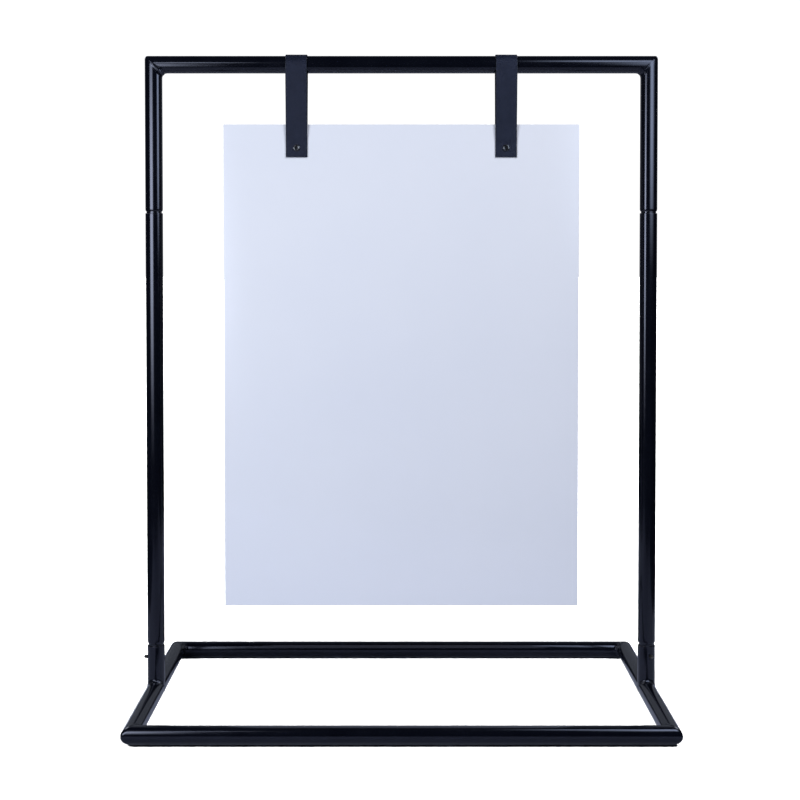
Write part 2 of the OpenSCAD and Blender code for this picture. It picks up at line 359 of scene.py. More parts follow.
def corner_weld_mesh(origin, a_axis, b_axis, height, flush, seed):
    """One mitre's weld. height is the bead's, flush how ground off it is at each direction
    across the tubes, as a function of (outward, upward) from -1 to 1."""
    rows, cols = 300, 31
    phi = np.arange(rows) * 2 * math.pi / rows
    across = np.linspace(-1, 1, cols)
    across = np.sign(across) * np.abs(across) ** 1.25 * SHELL_HALF
    p, s = np.meshgrid(phi, across, indexing="ij")
    b, c = TUBE_R * np.cos(p), TUBE_R * np.sin(p)
    back = b - np.abs(s)
    points = np.where(
        (s < 0)[..., None], np.stack([back, b, c], -1), np.stack([b, back, c], -1)
    ).reshape(-1, 3)
    s, p = s.ravel(), p.ravel()
    along = TUBE_R * np.sqrt(1.5) * p
    keep = 1 - flush(np.cos(p), np.sin(p))
    bump = bead_height(along, s, points + seed * 0.1, height) * keep
    bump += 0.02 * MM * (np.abs(s) < BEAD_HALF)
    inside = np.clip(-np.cos(p), 0, 1)
    start = BEAD_HALF + inside * 4.5 * MM
    target = bump - sunk(np.abs(s), start)
    c_axis = np.cross(a_axis, b_axis)

    def put(q):
        return place(q, origin, a_axis, b_axis, c_axis)

    def field(q):
        return corner_field(q, CORNER_K, FILLET_K)

    return weld_shell(rows, cols, points, field, target, put)


def joined(name, parts, sharp=60):
    """Several (points, faces) meshes as one object."""
    points, faces, start = [], [], 0
    for ps, fs in parts:
        points.append(ps)
        faces += [tuple(i + start for i in f) for f in fs]
        start += len(ps)
    return new_object(name, np.concatenate(points), faces, sharp)


# the foot's fillet, then its shell, its bead, where it starts to sink, its rows and its ripple
FOOT_K = 4.2 * MM
FOOT_SHELL = 5.2 * MM
FOOT_BEAD = 2.0 * MM
FOOT_SINK = 3.6 * MM
FOOT_ROW_STEP = 0.55 * MM
FOOT_PITCH = 2.9 * MM


def foot_field(p):
    """Distance to a stub along Z standing on a rail along Y, with a fillet between them."""
    stub = np.hypot(p[:, 0], p[:, 1]) - TUBE_R
    rail = np.hypot(p[:, 0], p[:, 2]) - TUBE_R
    gap = np.abs(stub - rail)
    valley = np.clip(np.abs(p[:, 1]) / TUBE_R * 1.6, 0, 1)
    ease = FOOT_K * valley + 1e-9
    soft = np.where(gap < ease, (gap**2 + ease**2) / (2 * ease), gap)
    return (stub + rail) / 2 - soft / 2


def foot_weld_mesh(origin, seed):
    """The fillet weld round a stub's foot. Its rows follow the saddle curve, with a fan of
    rows at each side where the curve turns back on itself."""
    steps, fan, cols = 130, 10, 23
    across = np.linspace(-1, 1, cols) * FOOT_SHELL
    rows = []
    for sign in (1, -1):
        turn = np.linspace(-math.pi / 2, math.pi / 2, steps)[:: int(sign)]
        for t in turn:
            out = np.array([math.sin(t), sign * 1.0]) / math.hypot(math.sin(t), 1)
            rows.append((t, sign, out))
        end = turn[-1]
        last = rows[-1][2]
        other = np.array([last[0], -last[1]])
        for i in range(1, fan):
            mix = last * (1 - i / fan) + other * (i / fan)
            rows.append((end, 0, mix / np.linalg.norm(mix)))
    points, along, length = [], [], 0.0
    for t, sign, out in rows:
        u, v = TUBE_R * t, sign * TUBE_R * math.cos(t)
        length += FOOT_ROW_STEP
        for s in across:
            if s >= 0:
                points.append((TUBE_R * math.sin(t), v, TUBE_R * math.cos(t) + s))
            else:
                angle = (u - s * out[0]) / TUBE_R
                points.append((TUBE_R * math.sin(angle), v - s * out[1], TUBE_R * math.cos(angle)))
            along.append(length)
    points = np.array(points)
    s = np.tile(across, len(rows))
    part = np.clip(1 - (s / FOOT_BEAD) ** 2, 0, 1)
    ripple = np.cos(2 * math.pi * (np.array(along) + 0.25 * s**2 / MM) / FOOT_PITCH)
    bump = 0.36 * MM * part * (0.72 + 0.28 * ripple)
    bump += 0.10 * MM * part * wobble(points + seed, 300, 4.0)
    target = bump - 0.3 * MM * smooth(FOOT_SINK, FOOT_SHELL, np.abs(s))

    def put(q):
        return q + np.array(origin)

    return weld_shell(len(rows), cols, points, foot_field, target, put, 0.7 * MM)


# ---- materials ----


class Nodes:
    """A short way to write a material's node tree."""

    def __init__(self, name):
        self.material = bpy.data.materials.new(name)
        self.material.use_nodes = True
        self.tree = self.material.node_tree
        self.shader = self.tree.nodes["Principled BSDF"]
        self.coords = self.add("ShaderNodeTexCoord").outputs["Object"]

    def add(self, kind, inputs=None, **settings):
        """A new node, with its settings and with its inputs set or linked."""
        node = self.tree.nodes.new(kind)
        for key, value in settings.items():
            setattr(node, key, value)
        for key, value in (inputs or {}).items():
            self.put(node.inputs[key], value)
        return node

    def put(self, socket, value):
        """Links a socket, or sets its value."""
        if isinstance(value, bpy.types.NodeSocket):
            self.tree.links.new(value, socket)
        else:
            socket.default_value = value

    def noise(self, scale, detail=3, roughness=0.5, coords=None):
        node = self.add(
            "ShaderNodeTexNoise",
            {"Vector": coords or self.coords, "Scale": scale, "Detail": detail, "Roughness": roughness},
        )
        return node.outputs["Fac"]

    def cells(self, scale, feature="F1", randomness=1.0):
        node = self.add(
            "ShaderNodeTexVoronoi",
            {"Vector": self.coords, "Scale": scale, "Randomness": randomness},
            feature=feature,
        )
        return node.outputs["Distance"]

    def stretch(self, factors):
        node = self.add("ShaderNodeMapping", {"Vector": self.coords, "Scale": factors})
        return node.outputs["Vector"]

    def span(self, value, from_low, from_high, to_low, to_high):
        """Maps one range evenly onto another, and holds it there at the ends."""
        node = self.add(
            "ShaderNodeMapRange",
            {
                "Value": value,
                "From Min": from_low,
                "From Max": from_high,
                "To Min": to_low,
                "To Max": to_high,
            },
        )
        return node.outputs["Result"]

    def maths(self, operation, first, second):
        node = self.add("ShaderNodeMath", operation=operation)
        self.put(node.inputs[0], first)
        self.put(node.inputs[1], second)
        return node.outputs[0]

    def blend(self, factor, first, second):
        node = self.add("ShaderNodeMix", data_type="RGBA")
        self.put(node.inputs["Factor"], factor)
        self.put(node.inputs["A"], (*first, 1) if isinstance(first, tuple) else first)
        self.put(node.inputs["B"], (*second, 1) if isinstance(second, tuple) else second)
        return node.outputs["Result"]

    def bump(self, height, strength, distance, under=None):
        """A bumped normal, on top of another one if it is given."""
        inputs = {"Height": height, "Strength": strength, "Distance": distance}
        if under:
            inputs["Normal"] = under
        return self.add("ShaderNodeBump", inputs).outputs["Normal"]

    def attribute(self, name):
        return self.add("ShaderNodeAttribute", attribute_name=name).outputs["Fac"]

    def finish(self, colour, roughness, normal=None, **uniform):
        """Connects the shader, and sets its even values directly on its sockets."""
        self.put(self.shader.inputs["Base Color"], colour)
        self.put(self.shader.inputs["Roughness"], roughness)
        if normal:
            self.put(self.shader.inputs["Normal"], normal)
        for key, value in uniform.items():
            self.shader.inputs[key.replace("_", " ")].default_value = value
        return self.material


def paint_material(name, worn=0.0, specular=0.5):
    """Gloss black powder coat: orange peel, faint dust, and paler rub marks where worn."""
    n = Nodes(name)
    broad = n.noise(22, 4)
    fine = n.noise(900, 2)
    peel = n.noise(420, 2, 0.4)
    dust = n.span(n.noise(2600, 1), 0.66, 0.74, 0, 1)
    mottle = n.span(broad, 0.3, 0.7, 0, 1)
    colour = n.blend(mottle, (0.0020, 0.0025, 0.0052), (0.0031, 0.0038, 0.0074))
    colour = n.blend(n.maths("MULTIPLY", dust, 0.05), colour, (0.11, 0.12, 0.14))
    rough = n.span(n.maths("ADD", broad, n.maths("MULTIPLY", fine, 0.35)), 0.4, 0.95, 0.09, 0.15)
    rough = n.maths("ADD", rough, n.maths("MULTIPLY", dust, 0.2))
    if worn:
        edge = n.attribute("wear")
        rub = n.span(n.noise(700, 4, 0.7), 0.42, 0.62, 0, 1)
        rub = n.maths("MULTIPLY", n.maths("MULTIPLY", edge, rub), worn)
        colour = n.blend(rub, colour, (0.022, 0.023, 0.027))
        rough = n.maths("ADD", rough, n.maths("MULTIPLY", rub, 0.25))
    normal = n.bump(peel, 0.10, 0.0002)
    normal = n.bump(fine, 0.04, 0.00008, normal)
    tint = (0.86, 0.88, 1.0, 1)
    return n.finish(colour, rough, normal, Specular_IOR_Level=specular, Specular_Tint=tint)


def button_material():
    """Blackened steel pin: rubbed bright on its crown, with fine turning marks."""
    n = Nodes("blackened_steel")
    smudge = n.noise(600, 4, 0.6)
    marks = n.noise(2200, 2)
    crown = n.attribute("wear")
    rub = n.maths("MULTIPLY", crown, n.span(smudge, 0.35, 0.7, 0.1, 0.9))
    colour = n.blend(rub, (0.0065, 0.0060, 0.0055), (0.32, 0.31, 0.29))
    rough = n.span(smudge, 0.3, 0.7, 0.34, 0.50)
    rough = n.maths("SUBTRACT", rough, n.maths("MULTIPLY", crown, 0.16))
    n.put(n.shader.inputs["Metallic"], n.maths("MULTIPLY", crown, 0.8))
    return n.finish(colour, rough, n.bump(marks, 0.12, 0.00006), Specular_IOR_Level=0.35)


def spring_material():
    """Oiled spring steel with rolling lines along the leaf."""
    n = Nodes("spring_steel")
    lines = n.noise(1, 3, 0.6, n.stretch((900, 900, 120)))
    tint = n.noise(180, 3)
    colour = n.blend(n.span(tint, 0.35, 0.65, 0, 1), (0.30, 0.29, 0.27), (0.42, 0.42, 0.43))
    rough = n.span(lines, 0.3, 0.7, 0.24, 0.42)
    return n.finish(colour, rough, n.bump(lines, 0.15, 0.00006), Metallic=1.0)


def leather_material():
    """Matte slate-black strap leather: pebbled grain, pores, creases and darker sealed edges."""
    n = Nodes("slate_leather")
    pebble = n.cells(1150, "SMOOTH_F1")
    pores = n.cells(2400)
    mottle = n.noise(70, 5, 0.6)
    crease = n.noise(1, 4, 0.6, n.stretch((120, 120, 420)))
    edge = n.attribute("wear")
    base = n.blend(
        n.span(mottle, 0.32, 0.68, 0, 1), (0.0042, 0.0062, 0.0165), (0.0066, 0.0092, 0.0225)
    )
    base = n.blend(n.span(pebble, 0.12, 0.55, 0.35, 0), base, (0.0145, 0.0165, 0.026))
    base = n.blend(n.maths("MULTIPLY", edge, 0.7), base, (0.0040, 0.0048, 0.0068))
    rough = n.span(mottle, 0.3, 0.7, 0.52, 0.66)
    rough = n.maths("ADD", rough, n.maths("MULTIPLY", edge, -0.12))
    normal = n.bump(pebble, 0.35, 0.00022)
    normal = n.bump(pores, 0.12, 0.00010, normal)
    normal = n.bump(crease, 0.20, 0.00025, normal)
    return n.finish(
        base, rough, normal, Specular_IOR_Level=0.22, Sheen_Weight=0.02, Sheen_Roughness=0.5
    )


def screw_material():
    """Gloss black lacquer on turned steel, with faint smudges and small scuffs."""
    n = Nodes("screw_lacquer")
    smudge = n.noise(500, 4, 0.6)
    scuff = n.span(n.noise(1500, 3, 0.7), 0.60, 0.68, 0, 1)
    rub = n.maths("MULTIPLY", scuff, n.maths("ADD", n.attribute("wear"), 0.15))
    colour = n.blend(rub, (0.010, 0.011, 0.014), (0.10, 0.10, 0.11))
    rough = n.span(smudge, 0.3, 0.7, 0.12, 0.24)
    return n.finish(colour, rough, n.bump(smudge, 0.05, 0.00005), Specular_IOR_Level=1.0)


def panel_material():
    """Semi-gloss cool white sheet: faint skin texture, slow waves, handling marks, sawn edges."""
    n = Nodes("panel_white")
    broad = n.noise(3.2, 4, 0.55)
    skin = n.noise(1300, 2)
    smear = n.noise(1, 4, 0.6, n.stretch((18, 18, 55)))
    edge = n.attribute("wear")
    colour = n.blend(n.span(broad, 0.3, 0.7, 0, 1), (0.747, 0.780, 0.872), (0.777, 0.806, 0.888))
    saw = n.noise(1, 3, 0.7, n.stretch((900, 900, 900)))
    sawn = n.maths("MULTIPLY", edge, n.span(saw, 0.3, 0.7, 0.35, 0.75))
    colour = n.blend(sawn, colour, (0.60, 0.63, 0.70))
    rough = n.span(smear, 0.3, 0.75, 0.06, 0.10)
    rough = n.maths("ADD", rough, n.maths("MULTIPLY", edge, 0.35))
    normal = n.bump(skin, 0.01, 0.00002)
    normal = n.bump(n.maths("MULTIPLY", saw, edge), 0.3, 0.0001, normal)
    return n.finish(colour, rough, normal)


def floor_material(name, near, far=None, near_y=0, far_y=-1):
    """Pale studio paper, which can change evenly from near to far between two distances; a far tone darker
    than the near one is painted shade.
    """
    n = Nodes(name)
    fibre = n.noise(240, 4)
    split = n.add("ShaderNodeSeparateXYZ", {"Vector": n.coords}).outputs["Y"]
    # where far is darker than near, this blend paints shade onto the paper away from the lamps
    tone = n.blend(n.span(split, near_y, far_y, 0, 1), near, far or near)
    colour = n.blend(n.span(fibre, 0.3, 0.7, 0, 0.06), tone, (1.0, 1.0, 1.0))
    return n.finish(colour, 0.9, n.bump(fibre, 0.03, 0.0002), Specular_IOR_Level=0.0)


paint = paint_material("frame_paint")
worn_paint = paint_material("frame_paint_worn", worn=0.5)
weld_paint = paint_material("frame_paint_weld", specular=1.0)
blackened = button_material()
sprung = spring_material()
leather = leather_material()
lacquer = screw_material()
white = panel_material()


def set_wear(thing, rule):
    """Stores how worn each point is, from 0 to 1, for the materials to read."""
    points = np.array([v.co for v in thing.data.vertices], float).reshape(-1, 3)
    values = np.clip(rule(points), 0, 1).astype(np.float32)
    thing.data.attributes.new("wear", "FLOAT", "POINT").data.foreach_set("value", values)


def dress(thing, material, body, slot, *nodes):
    """Gives a piece its material and its body, and hides the CAD nodes that it stands for. slot is not
    used.
    """
    thing.data.materials.clear()
    thing.data.materials.append(material)
    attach(thing, body)
    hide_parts(*nodes)


# ---- the base ----

for side, where in ((-1, "front"), (1, "back")):
    centre = (0, side * AXIS_Y, TUBE_R)
    rail = mitred_rail(f"{where}_rail", AXIS_X, centre, (0, side, 0), (1, 0, 0))
    dress(rail, paint, "base_frame", "frame_paint", f"base_{where}_rail")
for side, where in SIDES:
    centre = (side * AXIS_X, 0, TUBE_R)
    rail = mitred_rail(f"{where}_rail", AXIS_Y, centre, (side, 0, 0), (0, 1, 0))
    dress(rail, paint, "base_frame", "frame_paint", f"base_{where}_rail")


def base_flush(up_sign):
    """The base's beads are ground off outside and underneath."""

    def rule(out, up):
        return np.maximum(smooth(-0.1, 0.45, out), smooth(0.35, 0.75, -up * up_sign))

    return rule


corner_welds = []
for x, y in ((-1, -1), (1, -1), (1, 1), (-1, 1)):
    a_axis, b_axis = np.array((x, 0.0, 0.0)), np.array((0.0, y, 0.0))
    corner = (x * AXIS_X, y * AXIS_Y, TUBE_R)
    corner_welds.append(
        corner_weld_mesh(corner, a_axis, b_axis, BASE_BEAD, base_flush(x * y), x + 2 * y)
    )
base_welds = joined("base_welds", corner_welds)
dress(base_welds, paint, "base_frame", "frame_paint", "base_corner_welds")

feet = [foot_weld_mesh((side * AXIS_X, 0, TUBE_R), side * 0.3) for side in (-1, 1)]
dress(joined("foot_welds", feet), weld_paint, "base_frame", "frame_paint", "stub_welds")


# ---- stubs, lower uprights and the upper frame ----

# each button's height, and the direction it faces in degrees from +X
BUTTONS = {"left": (58.5 * MM, 180.0), "right": (61.5 * MM, -70.0)}
# above this height a stub is a plain tube
STUB_PLAIN = 32 * MM
DRILL_LEN = 20 * MM
WEAR_REACH = 2.2 * MM


def saddle(b, c):
    """Height of a rail's top over its axis, under a point of a stub that stands on it."""
    return TUBE_R + np.sqrt(np.maximum((TUBE_R + 0.05 * MM) ** 2 - b**2, 0))


def rim_rings(rim_z, edge):
    """A tube's open top: rounded outside, eased inside, then down into the bore."""
    rings = [(r, z, None) for r, z in arc(TUBE_R - edge, rim_z - edge, edge, 0, 90, 8)]
    ease = 0.25 * MM
    rings += [(r, z, None) for r, z in arc(SOCKET_R + ease, rim_z - ease, ease, 90, 180, 4)]
    return rings


def plug_rings(rim_z):
    """A reduced end from its mouth, up its outside and over the rolled shoulder."""
    low, neck = rim_z - PLUG_LEN, rim_z + NECK
    ease = 0.5 * MM
    rings = [(PLUG_BORE_R, low, None), (PLUG_R - ease, low, None)]
    rings += [(r, z, None) for r, z in arc(PLUG_R - ease, low + ease, ease, -90, 0, 5)]
    rings += [(PLUG_R, z, None) for z in np.linspace(low + 3 * MM, neck - 0.4 * MM, 12)]
    span = TUBE_R - PLUG_R
    for turn in np.linspace(0, 90, 13):
        a = math.radians(turn)
        rings.append((PLUG_R + span * math.sin(a), neck + SHOULDER * (1 - math.cos(a)), None))
    return rings


def inner_rings(rim_z, top):
    """The bore of a reduced tube, from the full bore at top down to the plug's mouth."""
    shoulder_top = rim_z + NECK + SHOULDER
    return [
        (SOCKET_R, top, None),
        (SOCKET_R, shoulder_top + 1.5 * WALL, None),
        (SOCKET_R, shoulder_top + WALL, None),
        (PLUG_BORE_R, rim_z + NECK + WALL, None),
        (PLUG_BORE_R, rim_z + NECK - WALL, None),
    ]


def button_cutter(side, z, turn):
    """A rod along a button's axis, to drill its hole."""
    outline = [(0, 0), (BUTTON_HOLE_R, 0), (BUTTON_HOLE_R, DRILL_LEN), (0, DRILL_LEN)]
    rings = [(r, t, None) for r, t in outline]
    points = rings_to_points(rings, {}, 64)
    a = math.radians(turn)
    run = (math.cos(a), math.sin(a), 0)
    world = place(points, (side * AXIS_X, 0, z), (0, 0, 1), np.cross(run, (0, 0, 1)), run)
    return new_object("cutter", world, grid_faces(len(rings), 64))


def upright_wear(rims):
    """Wear at the edge of each rim or neck."""

    def rule(p):
        total = np.zeros(len(p))
        for z in rims:
            total = np.maximum(total, 1 - np.abs(p[:, 2] - z) / WEAR_REACH)
        return total

    return rule


for side, where in SIDES:
    centre = (side * AXIS_X, 0, 0)
    button_z, turn = BUTTONS[where]

    # the stub, saddle-cut onto its rail and drilled for the button
    rings = [(TUBE_R, 0, "foot"), (TUBE_R, 1.5 * MM, "foot")]
    rings += [(TUBE_R, z, None) for z in np.linspace(STUB_PLAIN, STUB_RIM - STUB_EDGE - MM, 22)]
    rings += rim_rings(STUB_RIM, STUB_EDGE)
    rings += [(SOCKET_R, z, None) for z in np.linspace(STUB_RIM - 3 * MM, STUB_PLAIN, 20)]
    rings += [(SOCKET_R, 0, "foot")]
    points = rings_to_points(rings, {"foot": saddle})
    stub = new_object(f"{where}_stub", points + np.array(centre), grid_faces(len(rings), SEGMENTS))
    boolean_cut(stub, button_cutter(side, button_z, turn))
    set_wear(stub, upright_wear([STUB_RIM]))
    dress(stub, worn_paint, "base_frame", "frame_paint", f"{where}_socket_stub")

    # the lower upright
    rings = plug_rings(STUB_RIM)
    top_of_shoulder = rings[-1][1]
    plain = np.linspace(top_of_shoulder + 3 * MM, UPPER_RIM - 2 * MM, 28)
    rings += [(TUBE_R, z, None) for z in plain]
    rings += rim_rings(UPPER_RIM, RIM_EDGE)
    rings += inner_rings(STUB_RIM, UPPER_RIM - PLUG_LEN - 2 * MM)
    points = rings_to_points(rings, {})
    faces = grid_faces(len(rings), SEGMENTS)
    upright = new_object(f"{where}_upright", points + np.array(centre), faces)
    boolean_cut(upright, button_cutter(side, button_z, turn))
    set_wear(upright, upright_wear([STUB_RIM + NECK, UPPER_RIM]))
    dress(upright, worn_paint, "base_frame", "frame_paint", f"{where}_lower_upright")

    # the upper post, mitred at its top; its local frame is turned so that b points outwards
    rings = plug_rings(UPPER_RIM)
    top_of_shoulder = rings[-1][1]
    plain = np.linspace(top_of_shoulder + 3 * MM, BAR_Z - CORNER_REACH, 10)
    rings += [(TUBE_R, z, None) for z in plain]
    rings += [(TUBE_R, -d, "mitre") for d in reversed(END_STEPS)]
    rings += [(SOCKET_R, 0, "mitre")]
    rings += inner_rings(UPPER_RIM, BAR_Z - CORNER_REACH)
    points = rings_to_points(rings, {"mitre": lambda b, c: BAR_Z + b})
    local = np.stack([points[:, 2] - BAR_Z, points[:, 0], points[:, 1]], 1)
    local = eased_corner(local)
    points = np.stack([local[:, 1], local[:, 2], local[:, 0] + BAR_Z], 1)
    world = place(points, centre, (side, 0, 0), (0, side, 0), (0, 0, 1))
    post = new_object(f"{where}_post", world, grid_faces(len(rings), SEGMENTS))
    set_wear(post, upright_wear([UPPER_RIM + NECK]))
    dress(post, worn_paint, "upper_frame", "frame_paint", f"{where}_upper_post")

bar = mitred_rail("top_rail", AXIS_X, (0, 0, BAR_Z), (0, 0, 1), (1, 0, 0))
dress(bar, paint, "upper_frame", "frame_paint", "top_bar")


def top_flush(amount):
    """The bar's beads are ground off outside, and by the given amount everywhere."""

    def rule(out, up):
        return np.maximum(smooth(0.25, 0.7, out), amount)

    return rule


top_welds = [
    corner_weld_mesh(
        (side * AXIS_X, 0, BAR_Z),
        np.array((side, 0.0, 0.0)),
        np.array((0.0, 0.0, 1.0)),
        TOP_BEAD,
        top_flush(0.0 if side < 0 else 0.8),
        side * 3,
    )
    for side in (-1, 1)
]
dress(joined("top_welds", top_welds), paint, "upper_frame", "frame_paint", "top_corner_welds")


# ---- snap buttons and their leaf springs ----


def turned_piece(name, outline, centre, run, count=64, sharp=35):
    """A solid of revolution from (radius, distance along run) points."""
    rings = [(r, t, None) for r, t in outline]
    points = rings_to_points(rings, {}, count)
    run = np.array(run, float)
    side = np.cross(run, (0, 0, 1.0)) if abs(run[2]) < 0.9 else np.array((1.0, 0, 0))
    side /= np.linalg.norm(side)
    world = place(points, centre, side, np.cross(run, side), run)
    return new_object(name, world, grid_faces(len(rings), count), sharp)


def leaf_path():
    """Side view of the folded leaf, in (distance out, height) from the button's axis."""
    bend_r, down = 3 * MM, 14 * MM
    far = (LEAF_T + 0.6 * MM - PLUG_BORE_R, 10 * MM)
    near = [(LEAF_U, z) for z in np.linspace(8 * MM, -down, 12)]
    bend = arc(LEAF_U - bend_r, -down, bend_r, 0, -165, 14)[1:]
    return np.array(near + bend + line(bend[-1], far, 11))


def leaf_mesh(name, centre, turn):
    """The leaf as a strip with rounded edges that follows its path."""
    path = leaf_path()
    section = np.array(rounded_box(4 * MM, LEAF_T / 2, 0.25 * MM, 3))
    out = math.radians(turn)
    u_axis = np.array((math.cos(out), math.sin(out), 0))
    w_axis = np.array((-math.sin(out), math.cos(out), 0))
    points = []
    for p, n in zip(path, path_normals(path)):
        for w, t in section:
            u, z = p + n * t
            points.append(np.array(centre) + u * u_axis + w * w_axis + np.array((0, 0, z)))
    return new_object(name, points, strip_faces(len(path), len(section)), 40), u_axis


def button_outline():
    """Half the button's section: a stake through the leaf, a flange, the pin and its dome."""
    face = LEAF_U + LEAF_T / 2
    stake, flange, chamfer = 1.5 * MM, 3.4 * MM, 0.1 * MM
    low, high = face + 0.05 * MM, face + 0.7 * MM
    points = [(0, face - 1.4 * MM), (stake - chamfer, face - 1.4 * MM), (stake, face - 1.3 * MM)]
    points += [(stake, low), (flange - chamfer, low), (flange, low + chamfer)]
    points += [(flange, high - chamfer), (flange - chamfer, high), (BUTTON_R + 0.15 * MM, high)]
    points += [(BUTTON_R, high + 0.15 * MM), (BUTTON_R, BUTTON_TIP - BUTTON_R - 1.2 * MM)]
    return points + arc(0, BUTTON_TIP - BUTTON_R, BUTTON_R, 0, 90, 16)


def crown_wear(centre, run):
    """Wear on the button's dome, where fingers press it."""

    def rule(p):
        return smooth(BUTTON_TIP - 1.6 * MM, BUTTON_TIP - 0.4 * MM, (p - centre) @ run)

    return rule


for side, where in SIDES:
    z, turn = BUTTONS[where]
    centre = np.array((side * AXIS_X, 0, z))
    angle = math.radians(turn)
    run = np.array((math.cos(angle), math.sin(angle), 0))
    button = turned_piece(f"{where}_button", button_outline(), centre, run)
    set_wear(button, crown_wear(centre, run))
    dress(button, blackened, f"{where}_button", "button_metal", f"{where}_snap_button")

    leaf, u_axis = leaf_mesh(f"{where}_leaf", centre, turn)
    leaf.data.materials.append(sprung)
    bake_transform(leaf)
    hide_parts(f"{where}_snap_spring")


# ---- the sign ----

SCREW_Z = snapped(middle("left_barrel_nut").z)
HEAD_EASE = 1.8 * MM
# the front head's dished middle, in millimetres: how far in from the shoulder, and how deep
DISH = ((0.25, 0.04), (0.55, 0.16), (0.9, 0.22))
DISH_DEPTH = 0.24 * MM
PRESS_R = 7.5 * MM
PRESS_DEPTH = 0.18 * MM


def strap_centreline():
    """Side view of the leather's middle, in (y, z): up the front, over the bar, down the back."""
    leg_y = PANEL_HIGH.y + STRAP_T / 2
    radius = TUBE_R + 0.25 * MM + STRAP_T / 2
    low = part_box("left_strap")[0].z
    bend_z = 800 * MM
    bend_r = 60 * MM
    drop = BAR_Z - bend_z
    lean = math.asin(radius / math.hypot(leg_y, drop)) - math.atan2(leg_y, drop)
    soften = bend_r * math.tan(lean / 2)
    legs = [(leg_y, z) for z in np.linspace(low, bend_z - soften, 22)]
    bend = [
        (leg_y + bend_r * (1 - math.cos(a)), bend_z - soften + bend_r * math.sin(a))
        for a in np.linspace(0, lean, 7)[1:]
    ]
    touch = (radius * math.cos(lean), BAR_Z - radius * math.sin(lean))
    over = arc(0, BAR_Z, radius, -math.degrees(lean), 90, 34)[1:]
    half = legs + bend + line(bend[-1], touch, 59) + over
    front = [(-y, z) for y, z in half]
    return np.array(front + half[-2::-1])


def strap_mesh(x, seed):
    """One strap's strip, with round edges: its points, its section, its path and the normals."""
    path = strap_centreline()
    normal = path_normals(path)
    half_w, half_t, ease = STRAP_W / 2, STRAP_T / 2, 0.5 * MM
    across = list(np.linspace(half_w - ease, -half_w + ease, 33))
    section = [(w, half_t) for w in across]
    section += arc(-half_w + ease, half_t - ease, ease, 90, 180, 4)[1:]
    section += arc(-half_w + ease, -half_t + ease, ease, 180, 270, 4)
    section += [(w, -half_t) for w in reversed(across)][1:-1]
    section += arc(half_w - ease, -half_t + ease, ease, 270, 360, 4)
    section += arc(half_w - ease, half_t - ease, ease, 0, 90, 4)[:-1]
    section = np.array(section)
    length = np.concatenate([[0], np.cumsum(np.linalg.norm(np.diff(path, axis=0), axis=1))])
    points = []
    for i in range(len(path)):
        sway = 0.12 * MM * noise.noise(Vector((seed, length[i] * 28, 0)))
        for w, t in section:
            y, z = path[i] + normal[i] * t
            points.append((x + w + sway, y, z))
    return np.array(points), section, path, normal


def relief(points, x, side):
    """How far a strap's outer face stands off its plain shape: slow waves in the leather, and
    the hollow that its screw presses in."""
    waves = 0.035 * MM * wobble(points, 210, side) + 0.05 * MM * wobble(points, 60, side + 5)
    away = np.hypot(points[:, 0] - x, points[:, 2] - SCREW_Z)
    hollow = PRESS_DEPTH * np.exp(-((away / PRESS_R) ** 4))
    return np.where(points[:, 2] < SCREW_Z + 4 * PRESS_R, waves - hollow, waves)


def outer_sign(normal):
    """Which way along the strip's normal is away from the panel and the bar."""
    return 1.0 if normal[len(normal) // 2][1] > 0 else -1.0


def strap_wear(x, end_z):
    """Burnishing along the strap's long edges and at its cut ends."""

    def rule(p):
        border = smooth(STRAP_W / 2 - 1.1 * MM, STRAP_W / 2 - 0.3 * MM, np.abs(p[:, 0] - x))
        cut = 1 - smooth(0.2 * MM, 0.9 * MM, p[:, 2] - end_z)
        return np.maximum(border, cut)

    return rule


def head_wear(x):
    """Scuffs round the rim of a screw's head."""

    def rule(p):
        return smooth(3.8 * MM, 4.6 * MM, np.hypot(p[:, 0] - x, p[:, 2] - SCREW_Z))

    return rule


def screw_head(seat):
    """A head's section from its seat outwards: a small chamfer, then an elliptical shoulder."""
    lip = 0.15 * MM
    shoulder = [
        (HEAD_R - HEAD_EASE * (1 - u), seat + lip + (HEAD_T - lip) * v)
        for u, v in arc(0, 0, 1, 0, 90, 14)[1:]
    ]
    return [(HEAD_R - lip, seat), (HEAD_R, seat + lip)] + shoulder


def slot_cutter(x, top):
    """A bar across a screw's head, to cut its slot."""
    half_w, depth, half_len = 0.6 * MM, 0.8 * MM, 8 * MM
    corners = [
        (x + sx * half_len, y, SCREW_Z + sz * half_w)
        for sx in (-1, 1)
        for y in (top - depth, top + MM)
        for sz in (-1, 1)
    ]
    quads = [(0, 1, 3, 2), (4, 6, 7, 5), (0, 4, 5, 1), (2, 3, 7, 6), (0, 2, 6, 4), (1, 5, 7, 3)]
    return new_object("slot_cutter", corners, quads)


